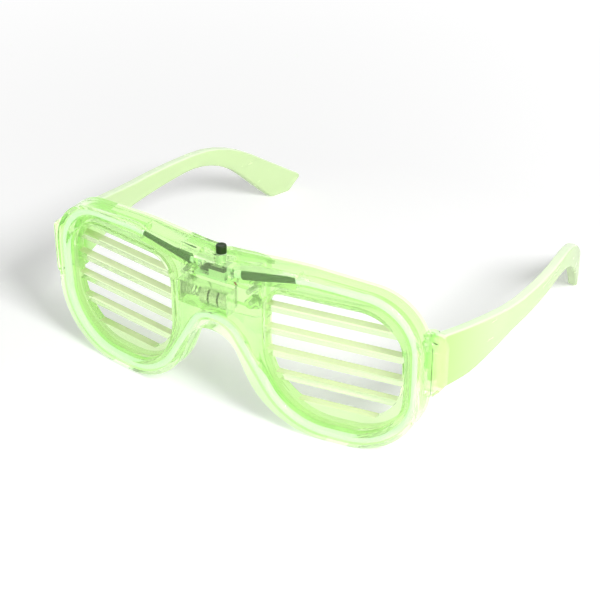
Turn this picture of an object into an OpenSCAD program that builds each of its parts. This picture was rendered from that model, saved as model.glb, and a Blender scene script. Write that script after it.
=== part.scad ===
// Light-up shutter glasses: a clear two-part front with a glowing tube round both lenses,
// slatted lens inserts, a battery and switch box in the bridge, and two folding temples.
// Origin: middle of the whole frame on the ground. +Z up, -Y is the front, +X the wearer's left.

/* [Front outline] */
// Half width of the front, from the middle to the outer edge
front_half_w = 71.3; // [68:0.1:76]
// Height of the brow line at the middle
brow_h = 60.8; // [59:0.1:66]
// Drop of the brow line towards the outer corners
brow_drop = 3.8; // [1:0.1:6]
// Radius of the upper outer corners
brow_r = 20; // [14:0.5:22]
// Radius of the lower outer corners
cheek_r = 24; // [18:0.5:26]
// Radius where the lower edge turns up to the nose
nose_turn_r = 30; // [24:0.5:32]
// Where the slope of the brow starts, from the middle
brow_x = 30; // [26:0.5:34]
// Radius where the brow line starts to slope
brow_bend_r = 60; // [30:1:90]
// Half width of the nose opening at the ground
nose_half_w = 20; // [18:0.5:22]
// Radius at the top of the nose opening
nose_arch_r = 9.8; // [8:0.1:11]

/* [Front body] */
// Angle by which each half of the front sweeps back
wrap_angle = 8.6; // [4:0.2:12]
// Radius of the bend in the middle of the front
wrap_r = 55; // [40:1:80]
// Depth of the front, face to back
rim_depth = 7.8; // [7.4:0.1:9]
// Thickness of the rear cover
cover_t = 1.2; // [0.8:0.1:1.6]
// Wall left round the rear cover
rim_wall = 1.2; // [0.8:0.1:1.6]
// Skin of plastic in front of the light tube
face_skin = 1.2; // [0.8:0.1:1.6]

/* [Light tube] */
// Diameter of the light tube
tube_d = 2.2; // [1.8:0.1:2.6]
// Distance of the tube's line from the outer edge at the sides
tube_in = 2.7; // [2.5:0.1:3.2]
// Height of the tube's line at the bottom of the lenses
tube_low = 2.1; // [1.8:0.1:3]
// Distance of the tube's line from the nose opening, along the bottom
tube_nose_in = 6.2; // [5:0.1:8]
// Distance of the tube's line above the top of the nose opening
tube_arch_in = 4.5; // [3.5:0.1:5.5]
// Radius of the tube over the nose
tube_arch_r = 10; // [8:0.2:12]
// Distance of the tube's line below the brow, where it turns to its sleeve
tube_brow_in = 3.4; // [2.9:0.1:4.2]
// Distance of the tube's line below the brow, at the outer corner
tube_corner_in = 5.8; // [5.2:0.1:6.6]
// Where the tube turns towards its sleeve, from the middle
tube_bend_x = 33; // [32:0.5:36]
// Radius of the tube where it turns towards its sleeve
tube_bend_r = 25; // [15:1:27]
// Radius of the tube in the upper outer corner
tube_brow_r = 18; // [14:0.5:19]
// Radius of the tube in the lower outer corner
tube_cheek_r = 22; // [16:0.5:24]
// Radius of the tube where it turns up to the nose
tube_turn_r = 24; // [18:0.5:26]

/* [Lens inserts] */
// Distance of the lens hole from the tube's line
hole_in = 2.3; // [2.2:0.1:3]
// Distance of the upper edge of the lens holes below the brow
hole_brow_in = 8.6; // [8.2:0.1:10]
// Radius of the lens holes at their upper outer corners
hole_brow_r = 15.7; // [10:0.1:16]
// Radius of the lens holes beside the bridge, at the top
hole_bridge_r = 9; // [6:0.5:11]
// Radius of the lens holes beside the bridge, above the nose
hole_nose_r = 30; // [20:1:40]
// Depth of the front of the slats behind the face
slat_back = 3.4; // [2.4:0.1:3.8]
// Ledge that holds the insert at its edge
ledge = 0.5; // [0.3:0.1:0.8]
// Number of slots in each insert
slot_count = 5; // [3:1:6]
// Height of each slat between two slots
slat_h = 2.4; // [1.8:0.1:3]
// Margin from the lens hole to the upper slot
slot_top_in = 1; // [0.8:0.1:2]
// Margin from the lens hole to the lowest slot
slot_low_in = 7.4; // [5:0.1:9]
// Margin from the lens hole to the slots on the outer side
slot_side_in = 2.5; // [1.6:0.1:4]
// Margin from the lens hole to the slots on the nose side
slot_nose_in = 1.2; // [1:0.1:3]

/* [Bridge box] */
// Distance of the top of the box below the brow
box_brow_in = 3.8; // [3.6:0.1:5]
// Wall of the box
box_wall = 1.2; // [0.8:0.1:1.4]
// Radius of the box's corners
box_r = 2; // [1:0.1:3]
// Thickness of the battery door
door_t = 1.1; // [0.8:0.1:1.4]
// Thickness of the rim that the door rests on
door_rim_t = 0.75; // [0.6:0.05:1]
// Width of the rim that the door rests on
door_rim_w = 0.8; // [0.6:0.1:1]
// Reach of the door's tongue under the edge of its opening
tongue = 1.1; // [0.8:0.1:1.2]
// Width of the door's tongue
tongue_w = 4; // [2.5:0.1:5]
// Radius of the screws' threads
screw_r = 0.8; // [0.6:0.05:0.9]
// Radius of the screws' heads
screw_head_r = 1.5; // [1.2:0.05:1.6]
// Thickness of the screws' heads
screw_head_t = 0.55; // [0.4:0.05:0.6]
// Wall of the bosses round the screws
boss_wall = 1.1; // [0.8:0.1:1.2]

/* [Battery] */
// Diameter of a button cell
cell_d = 7.9; // [7.9:0.1:8.1]
// Thickness of a button cell
cell_t = 3.6; // [3.4:0.1:3.6]
// Number of button cells
cell_count = 3; // [3:1:3]
// Middle of the row of cells, from the middle of the bridge
cell_mid_x = -0.6; // [-1:0.1:0]
// Wall of plastic in front of the cells
cell_skin = 1.6; // [1.2:0.1:1.8]
// Room behind the cells, up to the door
cell_back = 1; // [0.8:0.1:1.4]
// Wall of plastic between the cells and the circuit
bay_wall = 4.55; // [4:0.05:5.2]
// Wall of plastic between the cells and the tube over the nose
arch_wall = 0.55; // [0.5:0.05:1.5]
// Length of the contact spring
spring_len = 7; // [6.6:0.1:7.2]
// Number of turns in the contact spring
spring_turns = 5; // [3:1:6]
// Thickness of the spring wire
spring_wire = 0.5; // [0.4:0.05:0.6]
// Radius of the spring at its plate
spring_r1 = 2.9; // [2.4:0.1:3.1]
// Radius of the spring at the cell
spring_r2 = 1.7; // [1.4:0.1:2.2]
// Thickness of the two contact plates
plate_t = 0.3; // [0.2:0.05:0.4]
// Radius of the two wires
wire_r = 0.35; // [0.25:0.05:0.4]

/* [Circuit] */
// Half length of the circuit board
board_half_w = 6.2; // [5.8:0.1:7]
// Thickness of the circuit board
board_t = 0.8; // [0.6:0.1:1]
// Distance of the underside of the board below the brow
board_brow_in = 9.6; // [9.2:0.1:11]
// Where the push button stands, from the middle
button_x = 2.2; // [1.8:0.1:2.8]
// Wall of plastic in front of the switch
switch_skin = 1.25; // [1:0.05:1.5]
// Diameter of the push button
button_d = 3.5; // [3:0.1:3.8]
// Height of the button above the brow
button_out = 1.9; // [1.5:0.1:3]
// Width of the switch body
switch_w = 6; // [5.6:0.1:6]
// Height of the switch body
switch_h = 3.8; // [3.2:0.1:4]
// Chamfer round the top of the push button
button_edge = 0.4; // [0.2:0.1:0.8]
// Travel of the push button
button_travel = 0.3; // [0.2:0.05:0.4]
// Depth of the finger dish round the button
dish_depth = 2; // [1:0.1:2.2]
// Radius of the ball that shapes the finger dish
dish_r = 4.6; // [4.2:0.1:6]
// Diameter of each LED
led_d = 3; // [2.8:0.1:3.1]
// Reach of each LED out of its sleeve, to the back of its flange
led_in = 2.6; // [2:0.1:3]
// Thickness of the LEDs' legs
leg_t = 0.5; // [0.4:0.05:0.6]
// Distance between the two legs of an LED
leg_pitch = 2.54; // [2:0.02:2.6]
// Distance of the sleeves' wide ends beyond the board
sleeve_out = 3.55; // [3:0.05:4]
// Height of the sleeves' line over the board's underside, at their wide ends
sleeve_up = 2.6; // [2.2:0.1:3]
// Distance of the sleeves' wide ends from the face
sleeve_y = 6; // [5.6:0.1:6.4]
// Length of each sleeve
sleeve_len = 19.8; // [16:0.2:20.4]
// Thickness of the sleeves' wall
sleeve_wall = 0.45; // [0.3:0.05:0.5]

/* [Hinges] */
// Distance of the hinge line inside the front's outer edge
hinge_in = 1.7; // [1.5:0.1:2]
// Distance of the knuckles behind the front
hinge_gap = 0.75; // [0.6:0.05:1]
// Height of the middle of the hinge
hinge_h = 35; // [34:0.1:36]
// Height of the hinge block
lug_h = 19.8; // [17:0.1:21]
// Reach of the hinge block beyond the front's outer edge
lug_out = 5.3; // [4.2:0.1:6]
// Depth of the hinge block's front behind the face
lug_back = 2.2; // [1.6:0.1:3]
// Radius of the hinge block's outer corners
lug_r = 4; // [2:0.1:5]
// Distance of the temples inside the hinge blocks' ends
temple_step = 2; // [1:0.1:2.4]
// Radius of the knuckles
knuckle_r = 2.3; // [2:0.1:2.4]
// Height of the temple's knuckle
knuckle_h = 6.6; // [5:0.1:8]
// Height of each of the front's two knuckles
ear_h = 4.8; // [4:0.1:5.2]
// Radius of the hinge pin
pin_r = 0.8; // [0.6:0.05:1]

/* [Temples] */
// Length of the temples along the glasses
temple_len = 135; // [120:1:150]
// Thickness of the temples
temple_t = 3.6; // [3:0.1:4]
// Bow of the temples, outwards
temple_bow = 10.7; // [6:0.1:12]
// How far the tips lie inside the hinge ends
temple_in = 11.6; // [4:0.5:14]
// Height of the temple at the hinge
temple_root_h = 20; // [18:0.1:22]
// Height of the slim part of the temple
temple_arm_h = 7.6; // [6:0.1:9]
// Height of the slim part above the ground, to its lower edge
temple_arm_z = 28.4; // [26:0.1:30]
// Radius where the temple narrows behind the hinge, and over its back
temple_blend_r = 60; // [30:1:80]
// Radius where the end of the temple bends down
tip_bend_r = 44; // [25:1:50]
// Radius of the temple's corners
tip_r = 1.5; // [0.6:0.1:2]
// Length of the flat tip along the ground
tip_w = 8.1; // [6:0.1:12]
// Height of the slanted end of the tip
tip_rise = 6; // [4:0.1:8]

/* [Fits] */
// Gap between parts that are assembled together
gap = 0.15; // [0.1:0.01:0.2]
// Gap between parts that move past each other
run_gap = 0.3; // [0.25:0.01:0.4]
// Running clearance of the hinge pin, on the radius
pin_gap = 0.05; // [0.03:0.01:0.08]

/* [Hidden] */
$fn = 48;
arc_step = 7;
past = 30;
least_r = 0.05;

// Small vector and outline helpers
function unit(v) = v / norm(v);
function corner(c, i) = let (k = (i + len(c)) % len(c)) [c[k][0], c[k][1]];
function corner_r(c, i) = max(c[(i + len(c)) % len(c)][2], least_r);
function dir_in(c, i) = unit(corner(c, i) - corner(c, i - 1));
function dir_out(c, i) = unit(corner(c, i + 1) - corner(c, i));
function left_of(v) = [-v[1], v[0]];
function turn(c, i) = sign(cross(dir_in(c, i), dir_out(c, i)));
function bend(c, i) = acos(min(1, dir_in(c, i) * dir_out(c, i)));
// A list of corners [x, z, radius], anticlockwise, moved inwards by d with its radii to match
function inset(c, d) = [for (i = [0:len(c) - 1])
  let (na = left_of(dir_in(c, i)), nb = left_of(dir_out(c, i)), k = d / (1 + na * nb))
  [c[i][0] + k * (na[0] + nb[0]), c[i][1] + k * (na[1] + nb[1]), c[i][2] - d * turn(c, i)]];
// The length that a corner's rounding takes of each side, and the share of it that there is room for
function reach(c, i) = corner_r(c, i) * tan(bend(c, i) / 2);
function run(c, i) = norm(corner(c, i + 1) - corner(c, i));
function room(c, i) = min(1, run(c, i - 1) / (reach(c, i - 1) + reach(c, i) + least_r),
  run(c, i) / (reach(c, i) + reach(c, i + 1) + least_r));
// The arc that rounds one corner
function corner_arc(c, i) =
  let (a = dir_in(c, i), w = bend(c, i), s = turn(c, i), r = corner_r(c, i) * room(c, i),
    start = corner(c, i) - r * tan(w / 2) * a, mid = start + r * s * left_of(a),
    from = start - mid, n = w < 0.01 ? 0 : max(1, ceil(w / arc_step)))
  n == 0 ? [corner(c, i)] : [for (k = [0:n]) let (v = s * w * k / n)
    mid + [from[0] * cos(v) - from[1] * sin(v), from[0] * sin(v) + from[1] * cos(v)]];
function rounded(c) = [for (i = [0:len(c) - 1]) each corner_arc(c, i)];
// A half outline that starts on the middle line, made whole
function both_halves(half) =
  concat(half, [for (i = [len(half) - 1:-1:1]) [-half[i][0], half[i][1], half[i][2]]]);
// Where two sides that rise from [w, base] meet over a rounded top of the given height
function side_rise(w, base, top, r) =
  let (c = top - r - base) atan2(c, w) + asin(r / norm([w, c]));

// The face of the front seen from above: a short bend in the middle, then two flat wings
wrap_x = wrap_r * sin(wrap_angle);
function face_y(x) = abs(x) <= wrap_x
  ? wrap_r - sqrt(wrap_r * wrap_r - x * x)
  : wrap_r * (1 - cos(wrap_angle)) + (abs(x) - wrap_x) * tan(wrap_angle);
wing_end = front_half_w + 20;
bend_x = [for (k = [-4:4]) wrap_r * sin(wrap_angle * k / 4)];
face_x = concat([-wing_end], bend_x, [wing_end]);
seat = rim_depth - cover_t;

// Heights that hang from the brow
board_h = brow_h - board_brow_in;
box_top = brow_h - box_brow_in;
button_top = brow_h + button_out;
hole_top = brow_h - hole_brow_in;
tube_top = brow_h - tube_brow_in;
tube_corner_h = brow_h - tube_corner_in;
switch_z = board_h + board_t;

// The cells under the board, and their bay
cells_len = cell_count * cell_t;
cell_x = cell_mid_x - cells_len / 2;
bay_top = board_h - bay_wall;
cell_h = bay_top - 2 * gap - cell_d / 2;
cell_y = cell_skin + 3 * gap + cell_d / 2;
bay_low = cell_h - cell_d / 2 - gap;
bay_y = cell_y - cell_d / 2 - 3 * gap;
bay_x0 = cell_x - spring_len - plate_t - gap;
bay_x1 = cell_x + cells_len + plate_t + 4 * gap;

// The box behind them, its door and its screws
back_t = door_t + gap + door_rim_t;
box_depth = cell_y + cell_d / 2 + cell_back + gap + door_t;
back_y = box_depth - back_t;
box_low = bay_low - box_wall - gap;
box_half_w = box_wall + screw_head_r - bay_x0;
cover_screw_x = box_half_w - box_wall - screw_r - 1.5 * boss_wall;
cover_screw_h = bay_top + screw_r + boss_wall + gap;
door_screw_x = bay_x1 + 2 * (screw_r + boss_wall) + 5 * run_gap;
door_seat = box_depth - door_t - gap;
door_low = bay_low + 0.5;
door_top = bay_top - 0.4;
door_x0 = bay_x0 + door_rim_w;
door_x1 = door_screw_x + screw_head_r + door_rim_w;

// Outlines in the front view, as corners
nose_top = bay_low - arch_wall - tube_d / 2 - tube_arch_in;
outer_edge = both_halves([
  [0, nose_half_w * tan(side_rise(nose_half_w, 0, nose_top, nose_arch_r)), nose_arch_r],
  [nose_half_w, 0, nose_turn_r],
  [front_half_w, 0, cheek_r],
  [front_half_w, brow_h - brow_drop, brow_r],
  [brow_x, brow_h, brow_bend_r]]);

sleeve_x = board_half_w + sleeve_out;
sleeve_h = board_h + sleeve_up;
tube_side = front_half_w - tube_in;
tube_nose_x = nose_half_w + tube_nose_in;
tube_slope = side_rise(tube_nose_x, tube_low, nose_top + tube_arch_in, tube_arch_r);
tube_loop = both_halves([
  [0, tube_low + tube_nose_x * tan(tube_slope), tube_arch_r],
  [tube_nose_x, tube_low, tube_turn_r],
  [tube_side, tube_low, tube_cheek_r],
  [tube_side, tube_corner_h, tube_brow_r],
  [tube_bend_x, tube_top, tube_bend_r],
  [sleeve_x, sleeve_h, least_r]]);

bridge_half_w = box_half_w + 2 * gap;
knee_x = bridge_half_w - hole_in;
hole_low = tube_low + hole_in;
lens_hole = inset([
  [tube_nose_x, tube_low, tube_turn_r],
  [tube_side, tube_low, tube_cheek_r],
  [tube_side, hole_top + hole_in, hole_brow_r + hole_in],
  [knee_x, hole_top + hole_in, hole_bridge_r + hole_in],
  [knee_x, tube_low + (tube_nose_x - knee_x) * tan(tube_slope), hole_nose_r]], hole_in);
insert_t = seat - slat_back - gap;
slot_top = hole_top - slot_top_in;
slot_low = hole_low + slot_low_in;
slot_h = (slot_top - slot_low - slat_h * (slot_count - 1)) / slot_count;
slot_pitch = slot_h + slat_h;
slot_nose_x = bridge_half_w + slot_nose_in;
slot_side_x = tube_side - hole_in - slot_side_in;
slot_field = [
  [slot_nose_x, hole_low + slot_low_in / 2, tube_turn_r],
  [slot_side_x, hole_low + slot_low_in / 2, tube_cheek_r - hole_in],
  [slot_side_x, slot_top, hole_brow_r],
  [slot_nose_x, slot_top, hole_bridge_r]];

// The sleeves' line: from the LED outwards and up to the tube's first bend
function tube_y(x) = face_y(x) + face_skin + gap + tube_d / 2;
sleeve_rise = atan2(tube_top - sleeve_h, tube_bend_x - sleeve_x);
sleeve_end = [sleeve_x + sleeve_len * cos(sleeve_rise), sleeve_h + sleeve_len * sin(sleeve_rise)];
sleeve_back = atan2(tube_y(sleeve_end[0]) - sleeve_y, sleeve_len);
sleeve_r1 = led_d / 2 + gap + sleeve_wall;
sleeve_r2 = tube_d / 2 + gap / 3 + sleeve_wall / 2;
tube_start = led_in + 4 * gap;

// Switch and board places
button_y = switch_skin + gap + switch_w / 2;
board_y0 = button_y - switch_w / 2;
board_y1 = back_y - 1;
foot_t = 1;
foot_w = 0.5;
foot_z = switch_z + foot_t + button_travel + gap;

// Hinge, lug and temple places
lug_x = front_half_w + lug_out;
lug_low = hinge_h - lug_h / 2;
hinge_x = front_half_w - hinge_in;
hinge_y = face_y(front_half_w) + rim_depth + knuckle_r + hinge_gap;
temple_y = face_y(lug_x) + rim_depth + run_gap;
temple_out = lug_x - temple_step;
depth_all = temple_y + temple_len;
ear_low = hinge_h - knuckle_h / 2 - run_gap - ear_h;
ear_high = hinge_h + knuckle_h / 2 + run_gap;

// The whole model stands with the middle of its box over the origin
module place() { translate([0, -depth_all / 2, 0]) children(); }
module other_side() { mirror([1, 0, 0]) children(); }
module on_both() { children(); mirror([1, 0, 0]) children(); }
// A front-view shape between two distances from the face line y = 0
module slab(y0, y1) {
  translate([0, y1, 0]) rotate([90, 0, 0]) linear_extrude(y1 - y0) children();
}
// The same shape between two depths that follow the swept-back face
module layer(d0, d1) {
  intersection() {
    translate([0, 0, -5]) linear_extrude(brow_h + 20)
      polygon(concat([for (x = face_x) [x, face_y(x) + d0]],
        [for (i = [len(face_x) - 1:-1:0]) [face_x[i], face_y(face_x[i]) + d1]]));
    slab(d0 - 1, face_y(wing_end) + d1 + 1) children();
  }
}
module outline2d(c) { polygon(rounded(c)); }
module rect2d(x0, z0, x1, z1) { translate([x0, z0]) square([x1 - x0, z1 - z0]); }
module box3d(lo, hi) { translate(lo) cube(hi - lo); }
// A level cylinder that runs into the front, for screws and bosses
module along_y(x, z, y0, y1, r) { translate([x, y1, z]) rotate([90, 0, 0]) cylinder(h = y1 - y0, r = r); }
// Places children on the left sleeve's line, with +Z outwards along it
module on_sleeve_line() {
  translate([sleeve_x, sleeve_y, sleeve_h])
    rotate([0, 90 - sleeve_rise, 0]) rotate([-sleeve_back, 0, 0]) children();
}

// Front shell: clear moulding with the tube channel, lens holes and the bays of the bridge
module lug2d(play) {
  outline2d(inset([[tube_side, lug_low, least_r], [lug_x, lug_low, lug_r],
    [lug_x, lug_low + lug_h, lug_r], [tube_side, lug_low + lug_h, least_r]], play));
}
module cover_rim2d(play) { outline2d(inset(outer_edge, rim_wall + play)); }
// The channel round both lenses, w to each side of the tube's line, open over the bridge
module tube_channel2d(w) {
  difference() {
    outline2d(inset(tube_loop, -w));
    outline2d(inset(tube_loop, w));
    rect2d(-sleeve_end[0], bay_top, sleeve_end[0], brow_h);
  }
}
// The bay of one sleeve: square behind, and its front wall follows the sleeve's own taper
module sleeve_bay() {
  end_x = sleeve_end[0] + 4 * gap;
  intersection() {
    slab(0, past) translate([sleeve_x, sleeve_h]) rotate(sleeve_rise)
      translate([-1.5 * led_in, -sleeve_r1 - gap])
        square([sleeve_len + 1.5 * led_in + 3 * gap, 2 * (sleeve_r1 + gap)]);
    linear_extrude(brow_h) polygon([[0, sleeve_y - sleeve_r1 - gap],
      [sleeve_x, sleeve_y - sleeve_r1 - gap], [end_x, tube_y(sleeve_end[0]) - sleeve_r2 - gap],
      [end_x, past], [0, past]]);
  }
}
module cover_boss2d(play) { translate([cover_screw_x, cover_screw_h]) circle(r = screw_r + play); }
module front_shell() color([0.80, 0.98, 0.68, 0.6]) place() {
  difference() {
    union() {
      layer(0, rim_depth) outline2d(outer_edge);
      on_both() difference() {
        layer(lug_back, seat) lug2d(0);
        translate([lug_x, face_y(lug_x) + lug_back, hinge_h]) rotate(45)
          cube([lug_r, lug_r, 2 * lug_h] * 0.75, center = true);
      }
    }
    layer(seat, past) cover_rim2d(0);
    on_both() {
      layer(seat, past) lug2d(-gap);
      layer(-past, slat_back) outline2d(inset(lens_hole, ledge));
      layer(slat_back, past) outline2d(lens_hole);
      sleeve_bay();
      slab(sleeve_y - sleeve_r1 - gap, past) cover_boss2d(0);
    }
    layer(face_skin, past) tube_channel2d(tube_d / 2 + gap);
    slab(bay_y, past) rect2d(bay_x0, bay_low, bay_x1, bay_top);
    slab(switch_skin, past)
      rect2d(-board_half_w - gap, board_h, board_half_w + gap, box_top + gap);
    translate([button_x, button_y, switch_z]) cylinder(h = past, r = button_d / 2 + run_gap);
    translate([button_x, button_y, brow_h - dish_depth + dish_r]) sphere(r = dish_r);
  }
  on_both() slab(seat + face_y(cover_screw_x) - 1, back_y - gap) difference() {
    cover_boss2d(boss_wall);
    cover_boss2d(0);
  }
}

// Rear cover: plate with the press rib behind the tube, the box, the door frame and the ears
module box2d(play) {
  outline2d(inset([[-box_half_w, box_low, box_r], [box_half_w, box_low, box_r],
    [box_half_w, box_top, box_r], [-box_half_w, box_top, box_r]], play));
}
module door2d(play) {
  outline2d(inset([[door_x0, door_low, box_r / 2], [door_x1, door_low, box_r / 2],
    [door_x1, door_top, box_r / 2], [door_x0, door_top, box_r / 2]], play));
}
// The post that takes the door's screw, with a rib to the wall of the box
module door_post() {
  along_y(door_screw_x, cell_h, 0, door_seat, screw_r + boss_wall);
  box3d([door_screw_x, 0, cell_h - box_wall / 2], [box_half_w - box_wall / 2, back_y, cell_h + box_wall / 2]);
}
module ear(z0) {
  translate([hinge_x, hinge_y, z0]) cylinder(h = ear_h, r = knuckle_r);
  box3d([hinge_x - knuckle_r, face_y(hinge_x) + seat + run_gap, z0],
    [hinge_x + knuckle_r, hinge_y, z0 + ear_h]);
}
module rear_cover() color([0.78, 0.96, 0.66, 0.6]) place() {
  difference() {
    union() {
      layer(seat, rim_depth) difference() {
        cover_rim2d(gap);
        on_both() outline2d(inset(lens_hole, 2 * ledge));
      }
      layer(face_skin + tube_d + 2 * gap, seat + 0.01) tube_channel2d(tube_d / 2 - gap);
      difference() {
        slab(0, box_depth) box2d(0);
        layer(-past, seat) rect2d(-past, 0, past, brow_h);
      }
      on_both() {
        layer(seat, rim_depth) lug2d(0);
        ear(ear_low);
        ear(ear_high);
      }
    }
    difference() {
      slab(-1, back_y) box2d(box_wall);
      door_post();
    }
    difference() {
      slab(0, past) door2d(door_rim_w);
      door_post();
    }
    slab(door_seat, past) door2d(-gap);
    box3d([door_x0 - tongue - gap, door_seat, cell_h - tongue_w / 2 - gap],
      [door_x0, box_depth - door_t / 2, cell_h + tongue_w / 2 + gap]);
    along_y(door_screw_x, cell_h, 0, past, screw_r);
    on_both() {
      slab(0, past) cover_boss2d(gap);
      slab(box_depth - screw_head_t - 2 * gap, past) cover_boss2d(screw_head_r - screw_r + gap);
      translate([hinge_x, hinge_y, 0]) cylinder(h = brow_h, r = pin_r + pin_gap);
    }
  }
}

// Slatted lens inserts: one flat moulding each, with slats between its slots
module slots2d() {
  intersection() {
    outline2d(slot_field);
    for (k = [0:slot_count - 1])
      translate([0, slot_top - slot_h - k * slot_pitch]) square([front_half_w, slot_h]);
  }
}
module slat_insert_left() color([0.84, 1, 0.72, 0.6]) place()
  layer(slat_back, slat_back + insert_t) difference() {
    outline2d(inset(lens_hole, gap));
    slots2d();
  }
module slat_insert_right() color([0.84, 1, 0.72, 0.6]) other_side() slat_insert_left();

// Battery door with its tongue, and the screws of the bridge
module battery_door() color([0.78, 0.96, 0.66, 0.6]) place() {
  difference() {
    union() {
      slab(box_depth - door_t, box_depth) door2d(0);
      box3d([door_x0 - tongue, box_depth - door_t, cell_h - tongue_w / 2],
        [door_x0 + tongue, box_depth - door_t / 2 - gap, cell_h + tongue_w / 2]);
    }
    along_y(door_screw_x, cell_h, 0, past, screw_r + gap);
    along_y(door_screw_x, cell_h, box_depth - screw_head_t - gap / 2, past, screw_head_r + gap);
  }
}
// A cross-slot screw whose head ends at the given face, looking along +Y
module screw(x, z, face, len) {
  difference() {
    union() {
      along_y(x, z, face - screw_head_t, face, screw_head_r);
      along_y(x, z, face - len, face - screw_head_t / 2, screw_r - 0.02);
    }
    for (a = [0, 90]) translate([x, face, z]) rotate([0, a, 0])
      cube([1.4 * screw_head_r, screw_head_t, screw_head_t / 2], center = true);
  }
}
module door_screw() color("silver") place()
  screw(door_screw_x, cell_h, box_depth, box_depth - seat - face_y(door_screw_x) - run_gap);
module cover_screws() color("silver") place()
  on_both() screw(cover_screw_x, cover_screw_h, box_depth - gap, box_depth - sleeve_y + sleeve_r1 - 2 * gap);

// Light tube: one soft clear cord of even thickness, swept along its line
function ring(p, t, up, r, sides) =
  let (a = unit(cross(t, up)), b = cross(a, t))
  [for (k = [0:sides - 1]) p + r * (cos(360 * k / sides) * a + sin(360 * k / sides) * b)];
module sweep(pts, r, sides, up) {
  n = len(pts);
  rings = [for (i = [0:n - 1])
    let (t = unit(pts[min(i + 1, n - 1)] - pts[max(i - 1, 0)]))
    each ring(pts[i], t, up, r, sides)];
  faces = concat(
    [[for (k = [0:sides - 1]) k]],
    [for (i = [0:n - 2]) for (k = [0:sides - 1]) for (h = [0, 1])
      let (a = i * sides + k, b = i * sides + (k + 1) % sides)
      h == 0 ? [a, a + sides, b] : [b, a + sides, b + sides]],
    [[for (k = [sides - 1:-1:0]) (n - 1) * sides + k]]);
  polyhedron(rings, faces);
}
function sleeve_point(s) = [sleeve_x + s * cos(sleeve_rise), sleeve_y + s * tan(sleeve_back),
  sleeve_h + s * sin(sleeve_rise)];
// The open line runs from the left sleeve round the left lens, over the nose and back
function on_tube(arc) = [for (k = [len(arc) - 1:-1:0]) [arc[k][0], tube_y(arc[k][0]), arc[k][1]]];
function flipped(p) = [for (i = [len(p) - 1:-1:0]) [-p[i][0], p[i][1], p[i][2]]];
tube_side_line = concat([sleeve_point(tube_start), sleeve_point(tube_start + 1),
  sleeve_point(sleeve_len)], [for (i = [4:-1:1]) each on_tube(corner_arc(tube_loop, i))]);
tube_line = concat(tube_side_line, on_tube(corner_arc(tube_loop, 0)), flipped(tube_side_line));
module light_tube() color([0.93, 1, 0.93, 0.9]) place() sweep(tube_line, tube_d / 2, 10, [0, 1, 0]);

// Heat-shrink sleeves: wide over the LED, narrow over the tube
module sleeve_left() color([0.35, 0.55, 0.22]) place() on_sleeve_line() difference() {
  cylinder(h = sleeve_len, r1 = sleeve_r1, r2 = sleeve_r2);
  translate([0, 0, -1]) cylinder(h = 1 + tube_start, r = sleeve_r1 - sleeve_wall);
  translate([0, 0, tube_start - 1]) cylinder(h = sleeve_len, r = tube_d / 2 + gap / 3);
}
module sleeve_right() color([0.35, 0.55, 0.22]) other_side() sleeve_left();

// LEDs: flange and two legs towards the board, domed body inside the sleeve
module led_left() color([0.9, 1, 0.92, 0.8]) place() {
  dome = led_d / 2 - 0.02;
  on_sleeve_line() {
    translate([0, 0, -led_in]) cylinder(h = 1, r = led_d / 2 + gap * 2);
    translate([0, 0, 0.5 - led_in]) cylinder(h = led_in + tube_start - 2 * gap - dome - 0.4, r = led_d / 2);
    translate([0, 0, tube_start - 2 * gap - dome]) sphere(r = dome);
  }
  leg_x = sleeve_x - led_in * cos(sleeve_rise);
  leg_z = sleeve_h - led_in * sin(sleeve_rise);
  end_x = board_half_w - leg_t;
  for (s = [-1, 1]) {
    leg_y = sleeve_y + (s * leg_pitch - leg_t) / 2;
    box3d([end_x, leg_y, leg_z - leg_t / 2], [leg_x + 0.2, leg_y + leg_t, leg_z + leg_t / 2]);
    box3d([end_x, leg_y, switch_z], [end_x + leg_t, leg_y + leg_t, leg_z]);
  }
}
module led_right() color([0.9, 1, 0.92, 0.8]) other_side() led_left();

// Circuit board with its parts, and the push switch that stands on it
module circuit_board() color([0.86, 0.93, 0.82]) place()
  box3d([-board_half_w, board_y0, board_h], [board_half_w, board_y1, switch_z]);
chip_x = -board_half_w / 2 - run_gap;
chip_w = 3.2;
module driver_chip() color([0.06, 0.06, 0.07]) place()
  translate([chip_x, board_y0 + chip_w, switch_z]) {
    translate([0, 0, chip_w / 4]) cube([chip_w, chip_w, chip_w / 3], center = true);
    for (k = [-1:1], s = [-1, 1]) translate([s * chip_w / 2, k * chip_w / 3, chip_w / 12])
      cube([chip_w / 4, chip_w / 8, chip_w / 6], center = true);
  }
res_w = 1.1;
module resistors() color([0.12, 0.12, 0.12]) place() for (s = [-1, 1])
  translate([chip_x + s * res_w, board_y1 - 1.5 * res_w, switch_z + res_w / 4])
    cube([res_w, 2 * res_w, res_w / 2], center = true);
module switch_body() color([0.12, 0.12, 0.13]) place() translate([button_x, button_y, switch_z]) {
  difference() {
    translate([-switch_w / 2, -switch_w / 2, 0]) cube([switch_w, switch_w, switch_h]);
    translate([0, 0, foot_t]) cylinder(h = switch_h, r = button_d / 2 + run_gap);
    translate([0, 0, foot_t])
      cylinder(h = foot_t + button_travel + 2 * gap, r = button_d / 2 + foot_w + run_gap);
  }
}
module push_button() color([0.05, 0.06, 0.05]) place() translate([button_x, button_y, 0]) {
  translate([0, 0, foot_z]) cylinder(h = foot_t, r = button_d / 2 + foot_w);
  translate([0, 0, foot_z]) cylinder(h = button_top - button_edge - foot_z, r = button_d / 2);
  translate([0, 0, button_top - button_edge])
    cylinder(h = button_edge, r1 = button_d / 2, r2 = button_d / 2 - button_edge);
}

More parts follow.
